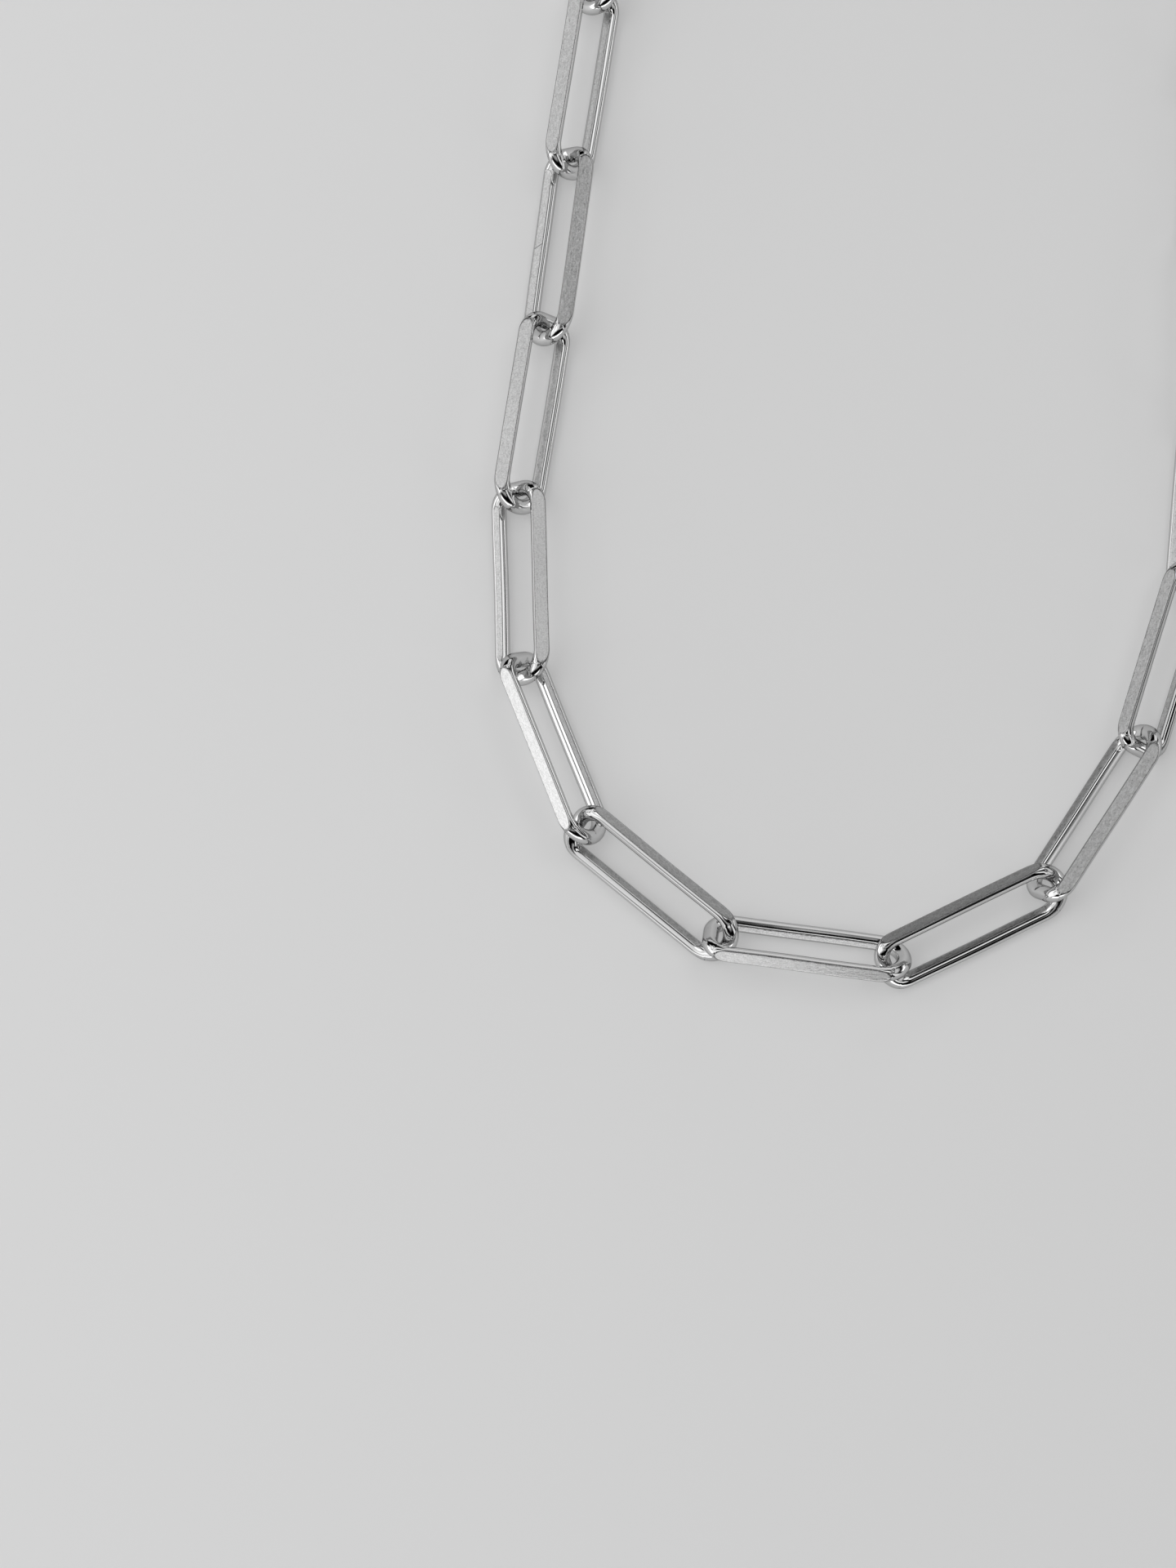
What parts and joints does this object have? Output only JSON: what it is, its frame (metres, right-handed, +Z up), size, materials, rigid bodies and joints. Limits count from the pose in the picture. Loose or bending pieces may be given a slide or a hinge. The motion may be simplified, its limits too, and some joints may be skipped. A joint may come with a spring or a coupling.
{
  "type": "paperclip chain necklace",
  "caption": "Closed necklace of long wire links with flat-ground sides, hooked through each other and leaning alternately, joined by a plain clasp between two jump rings, lying in a long loop.",
  "frame": {"origin": "middle of the loop's bounding box in plan, on the surface that the chain lies on", "axes": "+Z up from the surface, +Y along the long loop from its curved front towards the clasp, +X to the right as the picture shows it"},
  "size_m": [0.0688, 0.1938, 0.0044],
  "materials": {
    "silver_link": "polished round wire with fine satin flats ground along both long bars",
    "silver_finding": "plain polish"
  },
  "bodies": {
    "root": {"clasp": "silver_finding", "jump_ring_a": "silver_finding", "jump_ring_b": "silver_finding", "link_01": "silver_link", "link_02": "silver_link", "link_03": "silver_link", "link_04": "silver_link", "link_05": "silver_link", "link_06": "silver_link", "link_07": "silver_link", "link_08": "silver_link", "link_09": "silver_link", "link_10": "silver_link", "link_11": "silver_link", "link_12": "silver_link", "link_13": "silver_link", "link_14": "silver_link", "link_15": "silver_link", "link_16": "silver_link", "link_17": "silver_link", "link_18": "silver_link", "link_19": "silver_link", "link_20": "silver_link", "link_21": "silver_link", "link_22": "silver_link", "link_23": "silver_link", "link_24": "silver_link", "link_25": "silver_link", "link_26": "silver_link", "link_27": "silver_link", "link_28": "silver_link", "link_29": "silver_link", "link_30": "silver_link", "link_31": "silver_link", "link_32": "silver_link", "link_33": "silver_link"}
  },
  "joints": []
}
